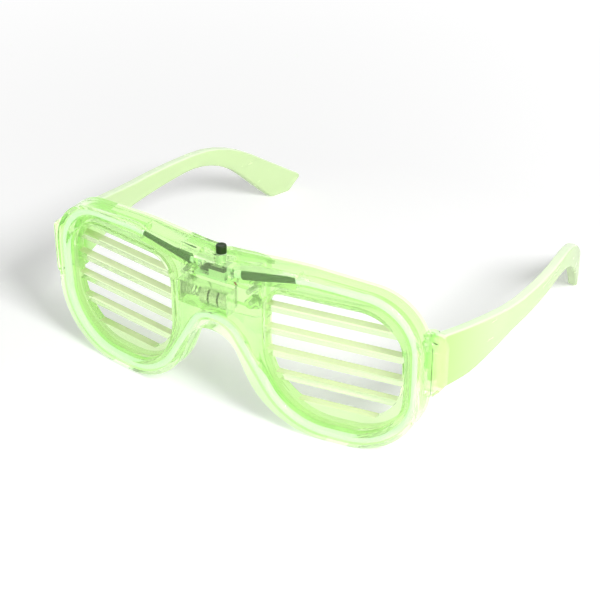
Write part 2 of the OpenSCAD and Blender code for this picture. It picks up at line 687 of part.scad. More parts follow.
// Button cells in a row, each a can with a smaller cap towards the spring
module cell(k) color([0.80, 0.80, 0.78]) place()
  translate([cell_x + k * cell_t, cell_y, cell_h]) rotate([0, 90, 0]) rotate_extrude()
    polygon([[0, 0], [cell_d * 0.36, 0], [cell_d * 0.38, cell_t * 0.04], [cell_d * 0.38, cell_t / 6],
      [cell_d / 2 - cell_t / 14, cell_t / 6], [cell_d / 2, cell_t * 0.24],
      [cell_d / 2, cell_t * 0.93], [cell_d / 2 - cell_t / 14, cell_t], [0, cell_t]]);

// Contact spring: a cone of round wire from its plate to the first cell
spring_steps = 8 * spring_turns;
spring_run = spring_len - 2 * gap - 2 * spring_wire;
function spring_at(k) = let (f = k / spring_steps, r = spring_r1 + (spring_r2 - spring_r1) * f)
  [cell_x - spring_len + gap + spring_wire + spring_run * f,
    cell_y + r * cos(45 * k), cell_h + r * sin(45 * k)];
spring_line = concat([spring_at(0) - [spring_wire, 0, 0]],
  [for (k = [0:spring_steps]) spring_at(k)],
  [spring_at(spring_steps) + [spring_wire, 0, 0]]);
echo(spring_gap = min([for (k = [0:spring_steps - 8]) norm(spring_at(k + 8) - spring_at(k))])
  - spring_wire);
module contact_spring() color("silver") place() sweep(spring_line, spring_wire / 2, 6, [1, 0, 0.2]);

// Contact plates: sheet metal with a tag for the wire, standing in the ends of the bay
plate_half = cell_d / 2 - 2 * gap;
plate_back = cell_y + plate_half - wire_r;
tag_top = cell_h + plate_half + 2 * wire_r;
module contact(x) {
  box3d([x, cell_y - plate_half, cell_h - plate_half], [x + plate_t, plate_back, cell_h + plate_half]);
  box3d([x, plate_back - 2 * wire_r, cell_h + plate_half / 2], [x + plate_t, plate_back, tag_top]);
}
spring_plate_x = cell_x - spring_len + gap - plate_t;
contact_plate_x = cell_x + cells_len;
module spring_plate() color([0.83, 0.80, 0.70]) place() contact(spring_plate_x);
module contact_plate() color([0.83, 0.80, 0.70]) place() contact(contact_plate_x);

// Wires from the tags, inwards and then up to the underside of the board
function wire_at(x0, x1, f) = [x0 + (x1 - x0) * sin(90 * f), plate_back + wire_r,
  tag_top - wire_r + (board_h - run_gap / 2 - tag_top + wire_r) * (1 - cos(90 * f))];
module wire(x0, x1) {
  sweep([for (k = [0:8]) wire_at(x0, x1, k / 8)], wire_r, 6, [0, 1, 0]);
}
module wire_black() color([0.08, 0.08, 0.08]) place()
  wire(spring_plate_x + plate_t / 2, -board_half_w + 3 * wire_r);
module wire_red() color([0.75, 0.10, 0.08]) place()
  wire(contact_plate_x + plate_t / 2, board_half_w / 2);

// Temples: the side profile cut from a bowed sheet of even thickness
temple_y1 = temple_y + temple_len;
arm_top = temple_arm_z + temple_arm_h;
tip_y = temple_y1 - tip_rise - tip_w;
temple_side = [
  [temple_y, lug_low, tip_r],
  [temple_y + 0.1 * temple_len, hinge_h - temple_root_h / 2 - 0.6, temple_blend_r / 2],
  [temple_y + 0.28 * temple_len, temple_arm_z, temple_blend_r],
  [tip_y - temple_arm_z, temple_arm_z, tip_bend_r],
  [tip_y, 0, 2 * tip_r],
  [temple_y1 - tip_rise, 0, tip_r],
  [temple_y1, tip_rise, tip_r],
  [temple_y1 - 0.28 * temple_len, arm_top - 0.42 * temple_arm_h, temple_blend_r],
  [temple_y1 - 0.7 * temple_len, arm_top + 0.18 * temple_arm_h, 1.5 * temple_blend_r],
  [temple_y, lug_low + lug_h, tip_r]];
// The bow is part of a circle through both ends of the temple
root_p = [temple_out - temple_t / 2, temple_y];
tip_p = [temple_out - temple_in, temple_y1];
chord = norm(tip_p - root_p);
bow_r = chord * chord / (8 * temple_bow) + temple_bow / 2;
bow_c = (root_p + tip_p) / 2 + left_of(unit(tip_p - root_p)) * (bow_r - temple_bow);
module bow_sheet() {
  translate([bow_c[0], bow_c[1], -1]) difference() {
    cylinder(h = brow_h + 2, r = bow_r + temple_t / 2, $fn = 240);
    translate([0, 0, -1]) cylinder(h = brow_h + 4, r = bow_r - temple_t / 2, $fn = 240);
  }
}
module temple_left() color([0.86, 0.98, 0.72, 0.8]) place() {
  difference() {
    union() {
      intersection() {
        bow_sheet();
        translate([front_half_w / 2, 0, 0]) rotate([90, 0, 90]) linear_extrude(front_half_w)
          polygon(rounded(temple_side));
      }
      translate([hinge_x, hinge_y, hinge_h - knuckle_h / 2]) {
        cylinder(h = knuckle_h, r = knuckle_r);
        box3d([0, 0.1 - knuckle_r, 0], [temple_out - hinge_x - 1, knuckle_r, knuckle_h]);
      }
    }
    for (z = [ear_low, ear_high]) {
      translate([hinge_x, hinge_y, z - run_gap])
        cylinder(h = ear_h + 2 * run_gap, r = knuckle_r + 1.5 * run_gap);
      box3d([hinge_x - 2 * knuckle_r, temple_y - 1, z - run_gap],
        [hinge_x + knuckle_r + 1.5 * run_gap, hinge_y, z + ear_h + run_gap]);
    }
    translate([hinge_x, hinge_y, 0]) cylinder(h = brow_h, r = pin_r + pin_gap);
  }
}
module temple_right() color([0.86, 0.98, 0.72, 0.8]) other_side() temple_left();

// Hinge screws: headless, with a driver slot, flush with the ears at both ends
module hinge_screw_left() color([0.86, 0.98, 0.72, 0.8]) place() translate([hinge_x, hinge_y, 0])
  difference() {
    translate([0, 0, ear_low]) cylinder(h = ear_high + ear_h - ear_low, r = pin_r);
    translate([0, 0, ear_high + ear_h]) cube([3 * pin_r, pin_r / 2, pin_r], center = true);
  }
module hinge_screw_right() color([0.86, 0.98, 0.72, 0.8]) other_side() hinge_screw_left();

front_shell();
rear_cover();
slat_insert_right();
slat_insert_left();
battery_door();
door_screw();
cover_screws();
light_tube();
sleeve_right();
sleeve_left();
led_right();
led_left();
circuit_board();
driver_chip();
resistors();
switch_body();
push_button();
cell(0);  // cell_right
cell(1);  // cell_middle
cell(2);  // cell_left
contact_spring();
spring_plate();
contact_plate();
wire_black();
wire_red();
temple_right();
temple_left();
hinge_screw_right();
hinge_screw_left();
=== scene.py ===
import math

import bmesh
import bpy
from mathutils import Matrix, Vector, noise


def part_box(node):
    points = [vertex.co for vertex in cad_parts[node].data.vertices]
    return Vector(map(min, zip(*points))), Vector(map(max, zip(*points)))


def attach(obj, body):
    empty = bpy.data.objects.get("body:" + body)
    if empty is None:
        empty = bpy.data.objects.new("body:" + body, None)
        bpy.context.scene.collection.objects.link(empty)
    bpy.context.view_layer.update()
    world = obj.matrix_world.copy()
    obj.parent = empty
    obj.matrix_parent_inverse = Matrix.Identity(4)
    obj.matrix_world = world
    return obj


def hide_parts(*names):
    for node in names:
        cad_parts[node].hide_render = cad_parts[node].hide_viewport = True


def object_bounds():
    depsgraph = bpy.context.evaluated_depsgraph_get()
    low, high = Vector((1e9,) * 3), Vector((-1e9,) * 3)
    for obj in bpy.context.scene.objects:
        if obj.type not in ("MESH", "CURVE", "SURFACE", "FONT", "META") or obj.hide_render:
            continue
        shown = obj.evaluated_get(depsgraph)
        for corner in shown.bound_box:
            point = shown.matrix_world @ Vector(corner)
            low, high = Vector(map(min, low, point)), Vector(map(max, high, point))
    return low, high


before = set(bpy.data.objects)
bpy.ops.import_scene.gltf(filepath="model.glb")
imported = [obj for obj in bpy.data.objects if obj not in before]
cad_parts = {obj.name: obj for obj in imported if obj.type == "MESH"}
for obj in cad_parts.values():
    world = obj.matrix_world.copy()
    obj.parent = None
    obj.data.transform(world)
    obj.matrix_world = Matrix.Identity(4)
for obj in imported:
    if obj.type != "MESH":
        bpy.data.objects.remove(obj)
cad_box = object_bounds()

# Table, lights and camera.
# The glasses stand on a white table that runs out of the picture, under one big soft lamp
# high on the wearer's left, with white walls all round.
scene = bpy.context.scene
scene.view_settings.view_transform = "Standard"
low, high = (Vector(corner) for corner in cad_box)
middle = (low + high) / 2

camera_turn = math.radians(31.92)
camera_tilt = math.radians(31.38)
camera_far = 0.514
towards_camera = Vector((math.sin(camera_turn) * math.cos(camera_tilt),
                         -math.cos(camera_turn) * math.cos(camera_tilt), math.sin(camera_tilt)))
camera_aim = Vector((0.0234, low.y + 0.0173, 0.0423))
camera = bpy.data.objects.new("camera", bpy.data.cameras.new("camera"))
camera.data.lens = 96
camera.data.sensor_width = 36
camera.location = camera_aim + towards_camera * camera_far
camera.rotation_euler = (-towards_camera).to_track_quat("-Z", "Y").to_euler()
scene.collection.objects.link(camera)
scene.camera = camera

lamp_from = Vector((0.714, -0.333, 0.616)).normalized()
lamp = bpy.data.objects.new("big_lamp", bpy.data.lights.new("big_lamp", "AREA"))
lamp.data.size = 0.32
lamp.data.energy = 9.4
lamp.location = middle + lamp_from
lamp.rotation_euler = lamp_from.to_track_quat("Z", "Y").to_euler()
scene.collection.objects.link(lamp)

wall_light = 0.28
table_near = 0.36
table_far = 0.75
table_through = 0.30
near_reach = 0.12
far_reach = 0.6


def joined(tree, how, one, two):
    """Two numbers joined by one sum."""
    node = tree.nodes.new("ShaderNodeMath")
    node.operation = how
    for socket, value in ((node.inputs[0], one), (node.inputs[1], two)):
        if isinstance(value, float):
            socket.default_value = value
        else:
            tree.links.new(value, socket)
    return node.outputs[0]


def ranged(tree, value, low_in, high_in, low_out, high_out):
    """The value, stretched from one range to another."""
    span = tree.nodes.new("ShaderNodeMapRange")
    span.inputs["From Min"].default_value = low_in
    span.inputs["From Max"].default_value = high_in
    span.inputs["To Min"].default_value = low_out
    span.inputs["To Max"].default_value = high_out
    tree.links.new(value, span.inputs["Value"])
    return span.outputs["Result"]


walls = bpy.data.worlds.new("walls")
walls.use_nodes = True
wall = walls.node_tree.nodes["Background"]
wall.inputs["Color"].default_value = (1.0, 1.0, 1.0, 1.0)
room = walls.node_tree
# The walls look plain white, but throw less light than that.
path = room.nodes.new("ShaderNodeLightPath")
seen = joined(room, "MAXIMUM", path.outputs["Is Camera Ray"], path.outputs["Is Glossy Ray"])
seen = joined(room, "MAXIMUM", seen, path.outputs["Is Transmission Ray"])
room.links.new(ranged(room, seen, 0, 1, wall_light, 1.0), wall.inputs["Strength"])
scene.world = walls

table_mesh = bpy.data.meshes.new("table")
table_half = 3.0
table_mesh.from_pydata([(-table_half, -table_half, 0), (table_half, -table_half, 0),
                        (table_half, table_half, 0), (-table_half, table_half, 0)], [], [(0, 1, 2, 3)])
table = bpy.data.objects.new("table", table_mesh)
scene.collection.objects.link(table)
table_paint = bpy.data.materials.new("table_paint")
table_paint.use_nodes = True
top = table_paint.node_tree
paint = top.nodes["Principled BSDF"]
paint.inputs["Base Color"].default_value = (0.80, 0.80, 0.80, 1.0)
paint.inputs["Roughness"].default_value = 0.9
paint.inputs["Specular IOR Level"].default_value = 0.0
paint.inputs["Emission Color"].default_value = (1.0, 1.0, 1.0, 1.0)
# The table looks paler further out, and its shadow stays. Through the plastic it looks dimmer.
from_middle = top.nodes.new("ShaderNodeVectorMath")
from_middle.operation = "LENGTH"
top.links.new(top.nodes.new("ShaderNodeTexCoord").outputs["Object"], from_middle.inputs[0])
path = top.nodes.new("ShaderNodeLightPath")
seen = joined(top, "MAXIMUM", path.outputs["Is Camera Ray"], path.outputs["Is Glossy Ray"])
white = joined(top, "MULTIPLY", seen,
               ranged(top, from_middle.outputs["Value"], near_reach, far_reach, table_near, table_far))
through = joined(top, "MULTIPLY", path.outputs["Is Transmission Ray"], table_through)
top.links.new(joined(top, "ADD", white, through), paint.inputs["Emission Strength"])
table_mesh.materials.append(table_paint)


# Front shell, rear cover and battery door.
# Injection moulded clear acrylic with a green dye, polished on the outside, and a faint painted
# glow. The cover drops into the shell and is held by two screws, the door by a tongue and one screw.
def as_piece(mesh, name, body, slot, *paints):
    """A mesh as a finished piece of the glasses, riding on its body."""
    for paint in paints:
        mesh.materials.append(paint)
    piece = bpy.data.objects.new(name, mesh)
    scene.collection.objects.link(piece)
    shading = piece.modifiers.new("even_shading", "WEIGHTED_NORMAL")
    shading.keep_sharp = True
    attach(piece, body)
    return piece


def settle(work, name, sharp=32):
    """A smooth-shaded mesh with sharp edges kept, from the bmesh that it was made in."""
    bmesh.ops.recalc_face_normals(work, faces=work.faces)
    mesh = bpy.data.meshes.new(name)
    work.to_mesh(mesh)
    work.free()
    for layer in [a for a in mesh.attributes if a.name == "custom_normal"]:
        mesh.attributes.remove(layer)
    mesh.shade_smooth()
    mesh.set_sharp_from_angle(angle=math.radians(sharp))
    return mesh


def welded(node, flat=0.4):
    """A node's solid with its seams welded and its flat faces whole again."""
    work = bmesh.new()
    work.from_mesh(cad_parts[node].data)
    for face in work.faces:
        face.material_index = 0
    bmesh.ops.remove_doubles(work, verts=work.verts, dist=2e-6)
    bmesh.ops.dissolve_limit(work, angle_limit=math.radians(flat), verts=work.verts, edges=work.edges)
    return work


def round_off(work, width, picks, steps=3):
    """Rounds the outer edges that picks() names."""
    edges = [e for e in work.edges if len(e.link_faces) == 2 and e.is_convex
             and e.calc_face_angle(0) > math.radians(40) and picks(e)]
    bmesh.ops.bevel(work, geom=edges, offset=width, offset_type="OFFSET", segments=steps,
                    profile=0.5, affect="EDGES", clamp_overlap=False)


def new_group(name, inputs, outputs):
    """An empty shader group with number inputs and the given outputs."""
    group = bpy.data.node_groups.new(name, "ShaderNodeTree")
    for label, value in inputs:
        group.interface.new_socket(label, in_out="INPUT", socket_type="NodeSocketFloat")
        group.interface.items_tree[label].default_value = value
    for label in outputs:
        group.interface.new_socket(label, in_out="OUTPUT", socket_type="NodeSocketFloat")
    return group, group.nodes.new("NodeGroupInput"), group.nodes.new("NodeGroupOutput")


def moulding_group():
    """Flow marks, fine orange peel and hairline scuffs of a polished moulding."""
    group, put, out = new_group("moulding", [("Flow", 60.0), ("Peel", 700.0), ("Scuff", 260.0)],
                                ["Flow", "Height", "Scuff"])
    link = group.links.new
    place = group.nodes.new("ShaderNodeTexCoord").outputs["Object"]
    flow = group.nodes.new("ShaderNodeTexNoise")
    flow.inputs["Detail"].default_value = 3.0
    flow.inputs["Distortion"].default_value = 0.8
    link(place, flow.inputs["Vector"])
    link(put.outputs["Flow"], flow.inputs["Scale"])
    link(flow.outputs["Fac"], out.inputs["Flow"])
    peel = group.nodes.new("ShaderNodeTexNoise")
    peel.inputs["Detail"].default_value = 2.0
    link(place, peel.inputs["Vector"])
    link(put.outputs["Peel"], peel.inputs["Scale"])
    link(peel.outputs["Fac"], out.inputs["Height"])
    stretch = group.nodes.new("ShaderNodeMapping")
    stretch.inputs["Rotation"].default_value = (0.5, 0.3, 0.7)
    stretch.inputs["Scale"].default_value = (1.0, 0.08, 1.0)
    link(place, stretch.inputs["Vector"])
    scuff = group.nodes.new("ShaderNodeTexNoise")
    scuff.inputs["Detail"].default_value = 5.0
    scuff.inputs["Roughness"].default_value = 0.7
    link(stretch.outputs["Vector"], scuff.inputs["Vector"])
    link(put.outputs["Scuff"], scuff.inputs["Scale"])
    link(scuff.outputs["Fac"], out.inputs["Scuff"])
    return group


moulding = moulding_group()


def blended(tree, factor, first, second):
    """Two colours, or a colour and a link, mixed by a factor."""
    mix = tree.nodes.new("ShaderNodeMix")
    mix.data_type = "RGBA"
    tree.links.new(factor, mix.inputs["Factor"])
    for socket, colour in ((mix.inputs[6], first), (mix.inputs[7], second)):
        if isinstance(colour, tuple):
            socket.default_value = (*colour, 1.0)
        else:
            tree.links.new(colour, socket)
    return mix.outputs[2]


def finish(name, dark, light, rough, spread, bump=0.1, grain=700.0, flow=60.0, scuff=260.0, **sockets):
    """A material of two near colours, with grain in its bump and scuffs in its gloss."""
    paint = bpy.data.materials.new(name)
    paint.use_nodes = True
    tree = paint.node_tree
    shader = tree.nodes["Principled BSDF"]
    marks = tree.nodes.new("ShaderNodeGroup")
    marks.node_tree = moulding
    marks.inputs["Flow"].default_value = flow
    marks.inputs["Peel"].default_value = grain
    marks.inputs["Scuff"].default_value = scuff
    tree.links.new(blended(tree, marks.outputs["Flow"], dark, light), shader.inputs["Base Color"])
    tree.links.new(ranged(tree, marks.outputs["Scuff"], 0.3, 0.7, rough - spread, rough + spread),
                   shader.inputs["Roughness"])
    relief = tree.nodes.new("ShaderNodeBump")
    relief.inputs["Strength"].default_value = bump
    relief.inputs["Distance"].default_value = 0.0001
    tree.links.new(marks.outputs["Height"], relief.inputs["Height"])
    tree.links.new(relief.outputs["Normal"], shader.inputs["Normal"])
    for label, value in sockets.items():
        shader.inputs[label.replace("_", " ")].default_value = value
    return paint


# The clear plastics' green emission is a painted glow; they are no lamp.
glow_green = (0.55, 1.0, 0.25, 1.0)
hinge_inner = 0.0705
hinge_outer = 0.0728
clear_green = finish("clear_green", (0.78, 0.96, 0.63), (0.81, 0.975, 0.665), rough=0.06, spread=0.015,
                     bump=0.06, grain=500.0, Transmission_Weight=0.92, IOR=1.12, Coat_Weight=0.2,
                     Coat_Roughness=0.04, Emission_Color=glow_green, Emission_Strength=0.02)
# Painted light: the hinge blocks are painted paler than the rims, with a stronger painted glow.
tree = clear_green.node_tree
shader = tree.nodes["Principled BSDF"]
place = tree.nodes.new("ShaderNodeSeparateXYZ")
tree.links.new(tree.nodes.new("ShaderNodeTexCoord").outputs["Object"], place.inputs[0])
aside = joined(tree, "ABSOLUTE", place.outputs["X"], 0.0)
at_hinge = ranged(tree, aside, hinge_inner, hinge_outer, 0.0, 1.0)
body = shader.inputs["Base Color"].links[0].from_socket
tree.links.new(blended(tree, at_hinge, body, (0.90, 0.985, 0.81)), shader.inputs["Base Color"])
tree.links.new(blended(tree, at_hinge, glow_green[:3], (3.5, 5.0, 1.8)), shader.inputs["Emission Color"])
face_slope = math.tan(math.radians(8.6))
bend_half = 0.0082
rim_half = 0.0713
lug_depth = 0.0062
near_face = 0.0006
at_back = 0.0001
box_reach = 0.02


def front_depth(p):
    """How far a point lies behind the swept-back face of the front."""
    return p.y - low.y - max(0.0, abs(p.x) - bend_half / 2) * face_slope


def face_edge(edge):
    """The edges of the face, at its outline and round the lens holes."""
    return all(front_depth(v.co) < near_face for v in edge.verts)


def lug_edge(edge):
    """The outer edges of the hinge blocks."""
    return all(abs(v.co.x) > rim_half + near_face and front_depth(v.co) < lug_depth for v in edge.verts)


work = welded("front_shell")
round_off(work, 0.0008, face_edge)
round_off(work, 0.0010, lug_edge, 4)
shell = as_piece(settle(work, "clear_shell"), "clear_shell", "front", "clear_green", clear_green)
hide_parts("front_shell")

box_back = max(v.co.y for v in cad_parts["battery_door"].data.vertices)
back_points = [v.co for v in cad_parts["rear_cover"].data.vertices
               if abs(v.co.x) < box_reach and v.co.y > box_back - at_back]
box_half = max(p.x for p in back_points)
box_low = min(p.z for p in back_points)
box_high = max(p.z for p in back_points)


def box_edge(edge):
    """The outer edge of the box, at its back."""
    on_back = all(v.co.y > box_back - at_back and abs(v.co.x) < box_reach for v in edge.verts)
    return on_back and all(abs(v.co.x) > box_half - 2 * near_face or v.co.z < box_low + near_face
                           or v.co.z > box_high - near_face for v in edge.verts)


work = welded("rear_cover")
round_off(work, 0.0005, box_edge)
cover = as_piece(settle(work, "clear_cover"), "clear_cover", "front", "clear_green", clear_green)
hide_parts("rear_cover")

door_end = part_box("battery_door")[1].x
tongue_step = 0.0004


def door_edge(edge):
    """The edge of the door's outer face, but not the step of its tongue."""
    return all(v.co.y > box_back - at_back
               and (v.co.x < door_end - tongue_step or v.co.x > door_end - at_back) for v in edge.verts)


work = welded("battery_door")
round_off(work, 0.0002, door_edge)
door = as_piece(settle(work, "clear_door"), "clear_door", "front", "clear_green", clear_green)
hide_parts("battery_door")

# Slat inserts.
# One clear moulding for each lens, with five long slots. Each drops on the ledge of its lens
# hole from behind and is trapped there by the cover. The slats' upper sides get a painted tan shade.
# The slats' emission is a painted glow.
slat_green = finish("slat_green", (0.75, 0.90, 0.57), (0.81, 0.93, 0.64), rough=0.09, spread=0.02,
                    bump=0.06, grain=500.0, Transmission_Weight=0.85, IOR=1.12, Coat_Weight=0.3,
                    Coat_Roughness=0.05, Emission_Color=glow_green, Emission_Strength=0.02)
# The slat tops: a darker tan painted shade, with a stronger painted glow.
slat_top_shade = finish("slat_top_shade", (0.71, 0.79, 0.46), (0.77, 0.84, 0.53), rough=0.2, spread=0.04, bump=0.06,
                  grain=500.0, Transmission_Weight=0.5, IOR=1.12,
                  Emission_Color=(0.85, 0.95, 0.50, 1.0), Emission_Strength=0.06)
insert_rim = 0.002
for side in ("left", "right"):
    work = welded("slat_insert_" + side)
    insert_low, insert_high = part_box("slat_insert_" + side)
    round_off(work, 0.0003, lambda edge: all(insert_low.x + insert_rim < v.co.x < insert_high.x - insert_rim
                                             and v.co.z < insert_high.z - 0.0006 for v in edge.verts), 2)
    # Upward faces inside the slots take the painted shade of the slat tops.
    for face in work.faces:
        level = face.calc_center_median().z
        if face.normal.z > 0.9 and insert_low.z + 2 * insert_rim < level < insert_high.z - insert_rim:
            face.material_index = 1
    slats = as_piece(settle(work, "slats_" + side), "slats_" + side, "front", "clear_green",
                     slat_green, slat_top_shade)
    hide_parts("slat_insert_" + side)

# Light tube.
# A soft clear cord that carries the light of both LEDs. It lies in the channel of the shell,
# and glows along its whole length.
tube_glow = finish("tube_glow", (0.62, 0.72, 0.74), (0.70, 0.80, 0.84), rough=0.25, spread=0.08,
                   Emission_Color=(0.80, 0.98, 0.96, 1.0), Emission_Strength=0.48)


def end_ring(node, outer):
    """Middle and radius of a sleeve's end, the outer one or the one beside the bridge."""
    points = [v.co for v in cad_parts[node].data.vertices]
    reach = (max if outer else min)(abs(p.x) for p in points)
    ring = [p for p in points if abs(abs(p.x) - reach) < 0.0009]
    centre = sum(ring, Vector()) / len(ring)
    return centre, max((p - centre).length for p in ring)


grip = 0.66
neck_in = 0.0012
neck_out = 0.0016
tube_reach = 0.002
work = bmesh.new()
work.from_mesh(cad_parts["light_tube"].data)
for face in work.faces:
    face.material_index = 0
bmesh.ops.remove_doubles(work, verts=work.verts, dist=2e-6)
bmesh.ops.join_triangles(work, faces=work.faces, angle_face_threshold=math.radians(25),
                         angle_shape_threshold=math.radians(60))
# Each sleeve grips the tube, which swells back to its full thickness past the sleeve's end.
for node in ("sleeve_left", "sleeve_right"):
    wide = end_ring(node, False)[0]
    thin = end_ring(node, True)[0]
    along = (thin - wide).normalized()
    sleeve_run = (thin - wide).length
    for past in (-0.004, -neck_in, 0.0002, neck_out):
        spot = thin + along * past
        near = [f for f in work.faces if f.calc_center_median().x * spot.x > 0 and
                f.calc_center_median().z > 0.045]
        parts = list({e for f in near for e in f.edges} | {v for f in near for v in f.verts} | set(near))
        bmesh.ops.bisect_plane(work, geom=parts, dist=1e-7, plane_co=spot, plane_no=along)
    for vert in work.verts:
        reach = (vert.co - wide).dot(along)
        aside = (vert.co - wide - along * reach).length
        if vert.co.x * wide.x <= 0 or aside > tube_reach or not 0 < reach < sleeve_run + neck_out:
            continue
        share = min(max((reach - sleeve_run + neck_in) / (neck_in + neck_out), 0.0), 1.0)
        axis_point = wide + along * reach
        vert.co = axis_point + (vert.co - axis_point) * (grip + (1 - grip) * share * share * (3 - 2 * share))
tube = as_piece(settle(work, "glowing_tube", 70), "glowing_tube", "front", "light_cord", tube_glow)
tube.modifiers.clear()
rounder = tube.modifiers.new("rounder", "SUBSURF")
rounder.levels = 2
rounder.render_levels = 2
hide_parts("light_tube")


# Sleeves over the LEDs.
# Heat-shrink tubing, olive green, shrunk from the LED down on to the thinner light tube. It is
# slightly uneven, and its cut ends are rounded.
def lathe(name, start, end, profile, sides=48, ripple=None):
    """A turned form on the line from start to end. The profile is a list of (distance, radius)."""
    work = bmesh.new()
    along = (end - start).normalized()
    across = along.orthogonal().normalized()
    other = along.cross(across)
    rings = []
    for distance, radius in profile:
        centre = start + along * distance
        if radius <= 0:
            rings.append([work.verts.new(centre)])
            continue
        ring = []
        for k in range(sides):
            turn = 2 * math.pi * k / sides
            reach = radius + (ripple(distance, turn) if ripple else 0.0)
            ring.append(work.verts.new(centre + (across * math.cos(turn) + other * math.sin(turn)) * reach))
        rings.append(ring)
    for one, two in zip(rings, rings[1:]):
        for k in range(sides):
            corners = [one[k % len(one)], one[(k + 1) % len(one)],
                       two[(k + 1) % len(two)], two[k % len(two)]]
            work.faces.new(list(dict.fromkeys(corners)))
    return settle(work, name)


sleeve_wall = 0.00045
sleeve_thin_r = 0.00088
sleeve_play = 0.00006
sleeve_rings = 40


def shrink_marks(distance, turn):
    """The slight waves that the heat leaves in the tubing."""
    spot = Vector((distance * 700, math.cos(turn) * 1.6, math.sin(turn) * 1.6))
    return 0.00005 * noise.noise(spot) + 0.00002 * math.sin(distance * 5200 + 1.5 * math.cos(turn))


shrink = finish("shrink", (0.012, 0.085, 0.001), (0.03, 0.12, 0.003), rough=0.5, spread=0.12, bump=0.4,
                grain=900.0, flow=350.0, Specular_IOR_Level=0.05)
for side in ("left", "right"):
    node = "sleeve_" + side
    wide, wide_r = end_ring(node, False)
    thin = end_ring(node, True)[0]
    length = (thin - wide).length
    wide_r -= sleeve_play
    profile = [(sleeve_wall, wide_r - sleeve_wall), (0.0, wide_r - sleeve_wall),
               (0.0, wide_r - sleeve_wall / 2), (sleeve_wall / 4, wide_r - sleeve_wall / 8)]
    for k in range(sleeve_rings + 1):
        share = 0.01 + 0.98 * k / sleeve_rings
        ease = share * share * (3 - 2 * share)
        profile.append((length * share, wide_r + (sleeve_thin_r - wide_r) * (0.75 * share + 0.25 * ease)))
    profile += [(length - 0.00008, sleeve_thin_r - 0.00006), (length, sleeve_thin_r - 0.00012),
                (length - 0.0002, 0.0006)]
    sleeve = as_piece(lathe("shrink_" + node, wide, thin, profile, 40, shrink_marks), "shrink_" + node,
                      "front", "dark_sleeve", shrink)
    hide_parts(node)

# LEDs.
# Clear 3 mm resin bodies with a flange and tinned legs, bent down at their ends and soldered
# into the board. Each shines into its end of the light tube.
led_resin = finish("led_resin", (0.80, 0.92, 0.74), (0.88, 0.97, 0.82), rough=0.06, spread=0.03,
                   Transmission_Weight=0.6, IOR=1.45,
                   Emission_Color=(0.62, 1.0, 0.66, 1.0), Emission_Strength=0.22)
tinned = finish("tinned", (0.52, 0.53, 0.50), (0.72, 0.73, 0.70), rough=0.28, spread=0.1, bump=0.2,
                grain=1500.0, flow=300.0, Metallic=1.0)
leg_reach = 0.0014
for side in ("left", "right"):
    node = "led_" + side
    inner = min(abs(v.co.x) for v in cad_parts[node].data.vertices)
    work = welded(node)
    round_off(work, 0.00012, lambda edge: all(abs(v.co.x) > inner + leg_reach for v in edge.verts), 2)
    for face in work.faces:
        face.material_index = 1 if abs(face.calc_center_median().x) < inner + leg_reach else 0
    led = as_piece(settle(work, "clear_" + node), "clear_" + node, "front", "led_resin", led_resin, tinned)
    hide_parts(node)


# Circuit board.
# A small board with a white solder mask, tinned tracks on its top, and solder at each leg and
# wire. It lies loose in its bay, between the front and the cover.
def block(work, lo, hi):
    """Adds a box to a bmesh and returns its corners, lower ring first."""
    corners = [work.verts.new((x, y, z)) for z in (lo[2], hi[2])
               for x, y in ((lo[0], lo[1]), (hi[0], lo[1]), (hi[0], hi[1]), (lo[0], hi[1]))]
    for ring in ((3, 2, 1, 0), (4, 5, 6, 7), (0, 1, 5, 4), (1, 2, 6, 5), (2, 3, 7, 6), (3, 0, 4, 7)):
        work.faces.new([corners[k] for k in ring])
    return corners


# The white mask is tinted green and glows: painted light from the LEDs.
board_white = finish("board_white", (0.62, 0.86, 0.56), (0.72, 0.92, 0.66), rough=0.3, spread=0.08,
                     bump=0.15, grain=900.0, flow=200.0,
                     Emission_Color=(0.5, 1.0, 0.6, 1.0), Emission_Strength=0.05)
board_low, board_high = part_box("circuit_board")
work = welded("circuit_board")
round_off(work, 0.0003, lambda edge: abs(edge.verts[0].co.z - edge.verts[1].co.z) > 0.0005, 3)
board = as_piece(settle(work, "white_board"), "white_board", "front", "board_white", board_white)
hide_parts("circuit_board")

track_t = 0.00005
track_w = 0.0003
board_top = board_high.z
led_y = [sum(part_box("led_left")[k].y for k in (0, 1)) / 2 + s * 0.00127 for s in (-1, 1)]
led_x = board_high.x - 0.00025
chip_low, chip_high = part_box("driver_chip")
chip_mid = (chip_low + chip_high) / 2


def track(work, points):
    """A copper track, from point to point over the board."""
    for (x0, y0), (x1, y1) in zip(points, points[1:]):
        w = track_w / 2
        block(work, (min(x0, x1) - w, min(y0, y1) - w, board_top),
              (max(x0, x1) + w, max(y0, y1) + w, board_top + track_t))


work = bmesh.new()
lane_y = board_low.y + 0.0004
for k, y in enumerate(led_y):
    track(work, [(-led_x, y), (-led_x + 0.0006, y), (-led_x + 0.0006, chip_mid.y + (k - 0.5) * 0.002),
                 (chip_low.x, chip_mid.y + (k - 0.5) * 0.002)])
    track(work, [(led_x, y), (led_x - 0.0004, y), (led_x - 0.0004, lane_y + k * 0.0006),
                 (chip_mid.x, lane_y + k * 0.0006)])
track(work, [(chip_mid.x - 0.0011, board_high.y - 0.0006), (chip_mid.x + 0.0011, board_high.y - 0.0006)])
track(work, [(chip_high.x + 0.0003, chip_mid.y), (chip_high.x + 0.0003, board_high.y - 0.0004),
             (led_x - 0.001, board_high.y - 0.0004)])
as_piece(settle(work, "tracks"), "tracks", "front", "board_white", tinned)


